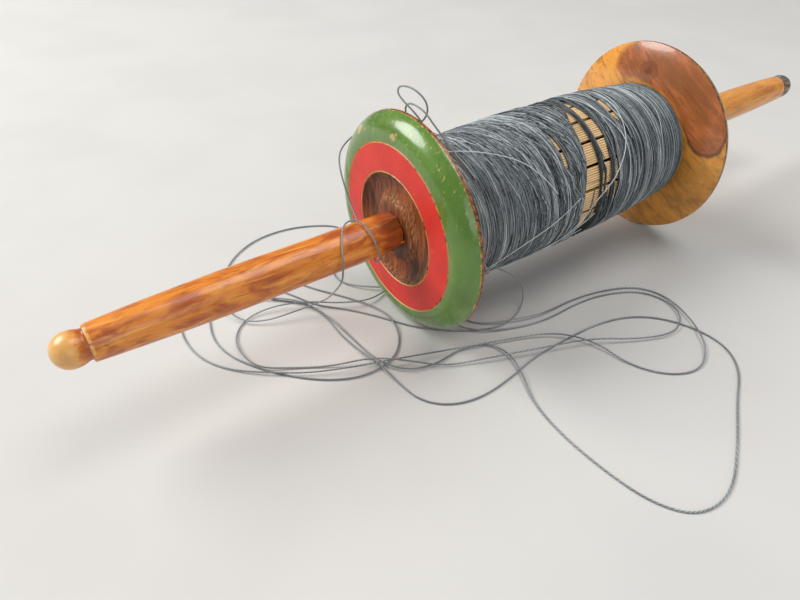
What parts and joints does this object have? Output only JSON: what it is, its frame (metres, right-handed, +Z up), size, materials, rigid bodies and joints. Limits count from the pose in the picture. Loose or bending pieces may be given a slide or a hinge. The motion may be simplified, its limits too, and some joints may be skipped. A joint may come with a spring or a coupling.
{
  "type": "kite string reel",
  "caption": "Wooden kite-string reel: slatted drum wound with thread between two painted discs, spinning on an axle with a turned handle at each end and a loose tangle of thread.",
  "frame": {"origin": "on the surface that the two discs stand on, below the axle's line, midway between the ends of the two handles; the front handle is 12 mm longer, so the middle of the drum is at x = 6 mm", "axes": "+X along the axle from the front handle to the rear handle, +Z up, +Y to the left of +X"},
  "size_m": [0.5122, 0.291, 0.1267],
  "materials": {
    "disc_wood": "turned hardwood, outer face gloss painted in green and red, inner face clear varnished",
    "handle_wood": "turned wood, orange-brown varnish, worn at the knob",
    "axle_wood": "plain turned rod",
    "bamboo": "split bamboo, ribbed, unvarnished",
    "thread": "twisted grey-blue thread, slightly glazed"
  },
  "bodies": {
    "spindle": {"axle": "axle_wood", "front_handle": "handle_wood", "rear_handle": "handle_wood", "loose_thread": "thread"},
    "reel": {"front_disc": "disc_wood", "rear_disc": "disc_wood", "slat_01": "bamboo", "slat_02": "bamboo", "slat_03": "bamboo", "slat_04": "bamboo", "slat_05": "bamboo", "slat_06": "bamboo", "slat_07": "bamboo", "slat_08": "bamboo", "slat_09": "bamboo", "slat_10": "bamboo", "slat_11": "bamboo", "slat_12": "bamboo", "slat_13": "bamboo", "slat_14": "bamboo", "slat_15": "bamboo", "slat_16": "bamboo", "slat_17": "bamboo", "slat_18": "bamboo", "thread_winding": "thread"}
  },
  "joints": [
    {"name": "reel_spin", "type": "hinge", "parent": "spindle", "child": "reel", "pos_m": [0, 0, 0.0575], "axis": [1, 0, 0], "continuous": true}
  ]
}
